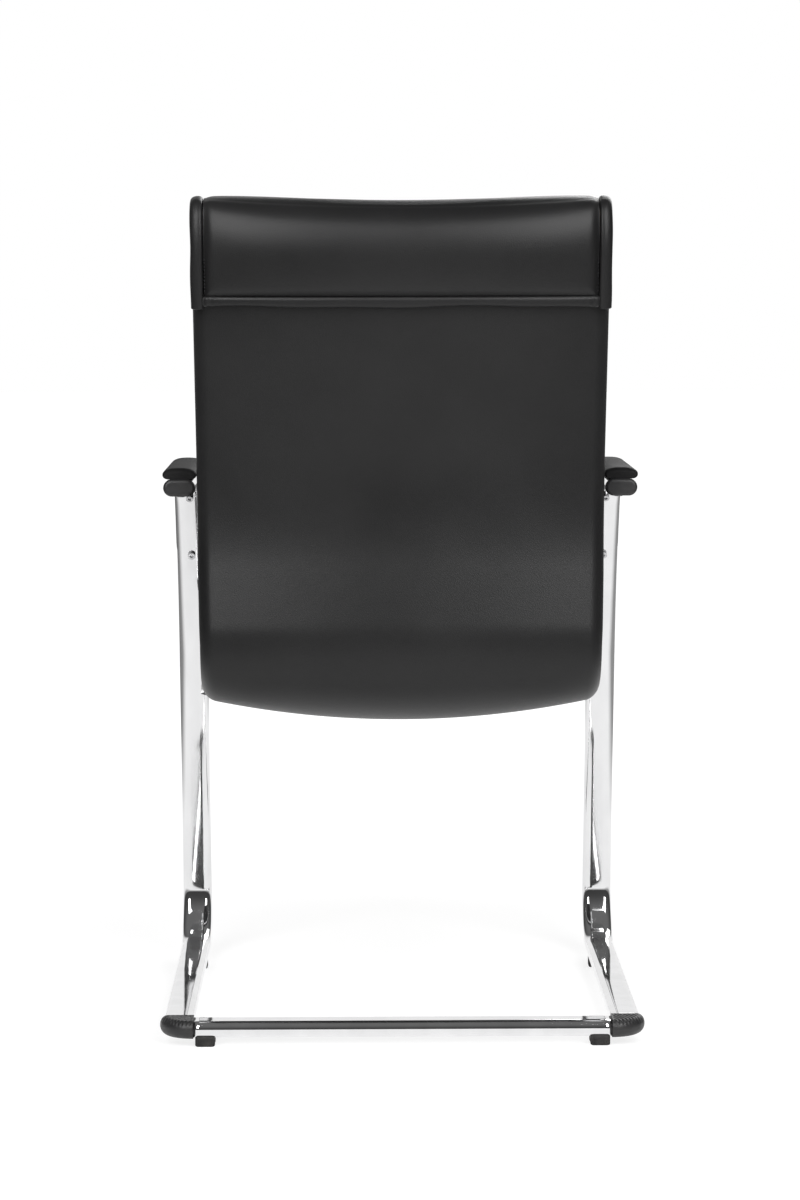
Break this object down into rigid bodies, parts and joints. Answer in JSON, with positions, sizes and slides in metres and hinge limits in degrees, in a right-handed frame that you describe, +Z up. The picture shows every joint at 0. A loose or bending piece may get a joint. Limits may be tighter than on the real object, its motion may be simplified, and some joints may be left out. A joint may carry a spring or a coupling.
{
  "type": "cantilever chair",
  "caption": "Upholstered cantilever armchair on a chromed flat-oval tube frame, with a bent shell, padded arms and a sewn headrest hood over the top of its high back.",
  "frame": {"origin": "on the floor, in the middle of the chair's width and depth", "axes": "+Z up; the sitter faces -Y, the rear of the chair is +Y and the sitter's left is +X"},
  "size_m": [0.575, 0.6179, 0.9986],
  "materials": {
    "chrome_tube": "polished",
    "black_leather": "satin",
    "black_plastic": "matte",
    "foam": "matte",
    "plywood": "matte",
    "black_steel": "satin",
    "zinc_steel": "satin"
  },
  "bodies": {
    "base": {"left_side_tube": "chrome_tube", "right_side_tube": "chrome_tube", "rear_cross_bar": "chrome_tube", "left_corner_connector": "black_plastic", "right_corner_connector": "black_plastic", "left_rear_glide": "black_plastic", "right_rear_glide": "black_plastic", "left_front_glide": "black_plastic", "right_front_glide": "black_plastic"},
    "seat": {"back_cover": "black_leather", "back_foam": "foam", "bolt_washers": "zinc_steel", "headrest_cover": "black_leather", "headrest_foam": "foam", "headrest_hem": "black_leather", "left_arm_end_cap": "black_plastic", "left_arm_pad": "black_leather", "left_arm_pad_core": "black_steel", "left_arm_screws": "zinc_steel", "left_headrest_gusset": "black_leather", "left_seat_rail": "black_steel", "plywood_shell": "plywood", "rear_cover": "black_leather", "right_arm_end_cap": "black_plastic", "right_arm_pad": "black_leather", "right_arm_pad_core": "black_steel", "right_arm_screws": "zinc_steel", "right_headrest_gusset": "black_leather", "right_seat_rail": "black_steel", "seat_bolts": "zinc_steel", "seat_cover": "black_leather", "seat_cross_tube": "chrome_tube", "seat_foam": "foam", "tee_nuts": "zinc_steel"}
  },
  "joints": [
    {"name": "seat_flex", "type": "hinge", "parent": "base", "child": "seat", "pos_m": [0, -0.21169, 0.09], "axis": [-1, 0, 0], "range_deg": [-1, 3], "stiffness_Nm_per_rad": 5000, "springref_deg": -0.36, "deforming": ["left_side_tube", "right_side_tube"]}
  ]
}
